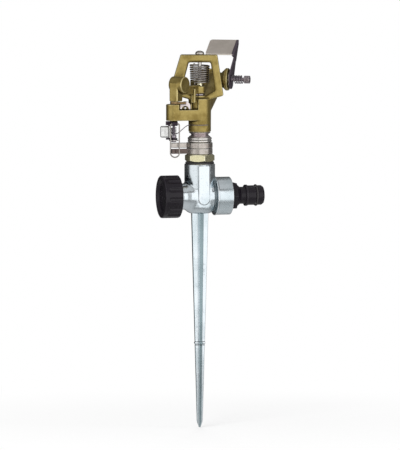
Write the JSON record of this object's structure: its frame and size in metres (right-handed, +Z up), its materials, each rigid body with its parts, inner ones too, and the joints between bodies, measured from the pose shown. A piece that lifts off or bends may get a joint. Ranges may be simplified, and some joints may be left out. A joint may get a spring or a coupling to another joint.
{
  "type": "impulse sprinkler",
  "caption": "Brass impulse sprinkler head on a zinc ground spike with a cross tee, hose connector, end cap, arc stop collars, sprung arm and tilting deflector flap.",
  "frame": {"origin": "on the riser's axis at the soil line, where the tapered spike begins under the tee", "axes": "+Z up along the riser, +X along the cross pipe towards the hose connector, -Y towards the front of the tee"},
  "size_m": [0.0899, 0.1071, 0.3234],
  "materials": {
    "spike_tee": "satin zinc die-casting",
    "seal_washer": "matt",
    "bearing_nut": "machined",
    "hose_connector": "satin moulding",
    "connector_gasket": "matt",
    "connector_o_ring": "matt",
    "end_cap": "satin moulding",
    "cap_washer": "matt",
    "lower_collar": "rolled sheet",
    "upper_collar": "rolled sheet",
    "bearing_sleeve": "machined",
    "thrust_washer_lower": "plain",
    "rubber_washer": "matt",
    "thrust_washer_upper": "plain",
    "neck_washer": "machined",
    "cover_washer": "machined",
    "neck_cover": "bright",
    "neck_spring": "bright wire",
    "head_body": "sand-cast",
    "nozzle": "machined",
    "stop_pin": "bright",
    "fulcrum_pin": "bright",
    "pin_cap": "bright",
    "arm_washer": "matt",
    "arm_spring": "bright wire",
    "arm": "sand-cast",
    "arm_bush": "plain",
    "deflector_flap": "folded sheet",
    "flap_washer": "bright",
    "diffuser_washer": "bright",
    "diffuser_spring": "bright wire",
    "diffuser_screw": "dark",
    "trip_lever": "bright",
    "trip_pin": "dark",
    "trip_washer": "bright",
    "trip_spacer": "plain",
    "trip_finger": "bright",
    "trip_spring": "dark wire",
    "trip_wire": "bright wire"
  },
  "bodies": {
    "base": {"spike_tee": "spike_tee", "seal_washer": "seal_washer", "bearing_nut": "bearing_nut", "hose_connector": "hose_connector", "connector_gasket": "connector_gasket", "connector_o_ring": "connector_o_ring"},
    "cap_slide": {"cap_washer": "cap_washer"},
    "cap": {"end_cap": "end_cap"},
    "lower_stop": {"lower_collar": "lower_collar"},
    "upper_stop": {"upper_collar": "upper_collar"},
    "head": {"bearing_sleeve": "bearing_sleeve", "thrust_washer_lower": "thrust_washer_lower", "rubber_washer": "rubber_washer", "thrust_washer_upper": "thrust_washer_upper", "neck_washer": "neck_washer", "cover_washer": "cover_washer", "neck_cover": "neck_cover", "neck_spring": "neck_spring", "head_body": "head_body", "nozzle": "nozzle", "stop_pin": "stop_pin", "fulcrum_pin": "fulcrum_pin", "pin_cap": "pin_cap", "arm_washer": "arm_washer", "arm_spring": "arm_spring", "trip_spring": "trip_spring"},
    "arm": {"arm": "arm", "arm_bush": "arm_bush"},
    "flap": {"deflector_flap": "deflector_flap", "flap_washer": "flap_washer", "diffuser_washer": "diffuser_washer"},
    "diffuser_slide": {"diffuser_spring": "diffuser_spring"},
    "diffuser": {"diffuser_screw": "diffuser_screw"},
    "trip": {"trip_lever": "trip_lever", "trip_pin": "trip_pin", "trip_washer": "trip_washer", "trip_spacer": "trip_spacer", "trip_finger": "trip_finger"},
    "trip_wire": {"trip_wire": "trip_wire"}
  },
  "joints": [
    {"name": "cap_travel", "type": "slide", "parent": "base", "child": "cap_slide", "axis": [-1, 0, 0], "range_m": [0, 0.0044]},
    {"name": "cap_turn", "type": "hinge", "parent": "cap_slide", "child": "cap", "pos_m": [-0.02, 0, 0.0143], "axis": [-1, 0, 0], "range_deg": [0, 720]},
    {"name": "lower_stop_turn", "type": "hinge", "parent": "base", "child": "lower_stop", "pos_m": [0, 0, 0.0503], "axis": [0, 0, 1], "range_deg": [-32, 6]},
    {"name": "upper_stop_turn", "type": "hinge", "parent": "base", "child": "upper_stop", "pos_m": [0, 0, 0.0552], "axis": [0, 0, 1], "range_deg": [-22, 15]},
    {"name": "head_swivel", "type": "hinge", "parent": "base", "child": "head", "pos_m": [0, 0, 0.0601], "axis": [0, 0, 1], "range_deg": [-5, 290]},
    {"name": "arm_swing", "type": "hinge", "parent": "head", "child": "arm", "pos_m": [0, 0, 0.1015], "axis": [0, 0, 1], "range_deg": [0, 60], "stiffness_Nm_per_rad": 0.02, "springref_deg": -5.73},
    {"name": "flap_tilt", "type": "hinge", "parent": "head", "child": "flap", "pos_m": [0.0253, 0.04861, 0.10975], "axis": [0.887, -0.4617, 0], "range_deg": [-20, 12]},
    {"name": "diffuser_travel", "type": "slide", "parent": "head", "child": "diffuser_slide", "axis": [0.887, -0.4617, 0], "range_m": [0, 0.0014]},
    {"name": "diffuser_turn", "type": "hinge", "parent": "diffuser_slide", "child": "diffuser", "pos_m": [0.0253, 0.04861, 0.10975], "axis": [0.887, -0.4617, 0], "range_deg": [0, 720]},
    {"name": "trip_lever_turn", "type": "hinge", "parent": "head", "child": "trip", "pos_m": [-0.02335, -0.00254, 0.0764], "axis": [0, 0, 1], "range_deg": [-12, 0]},
    {"name": "trip_wire_fold", "type": "hinge", "parent": "trip", "child": "trip_wire", "pos_m": [-0.02381, -0.00811, 0.0764], "axis": [-0.9659, 0.2588, 0], "range_deg": [0, 95]}
  ],
  "couplings": [
    {"joint": "cap_turn", "follows": "cap_travel", "rad_per_m": 2856},
    {"joint": "diffuser_turn", "follows": "diffuser_travel", "rad_per_m": 8976}
  ]
}
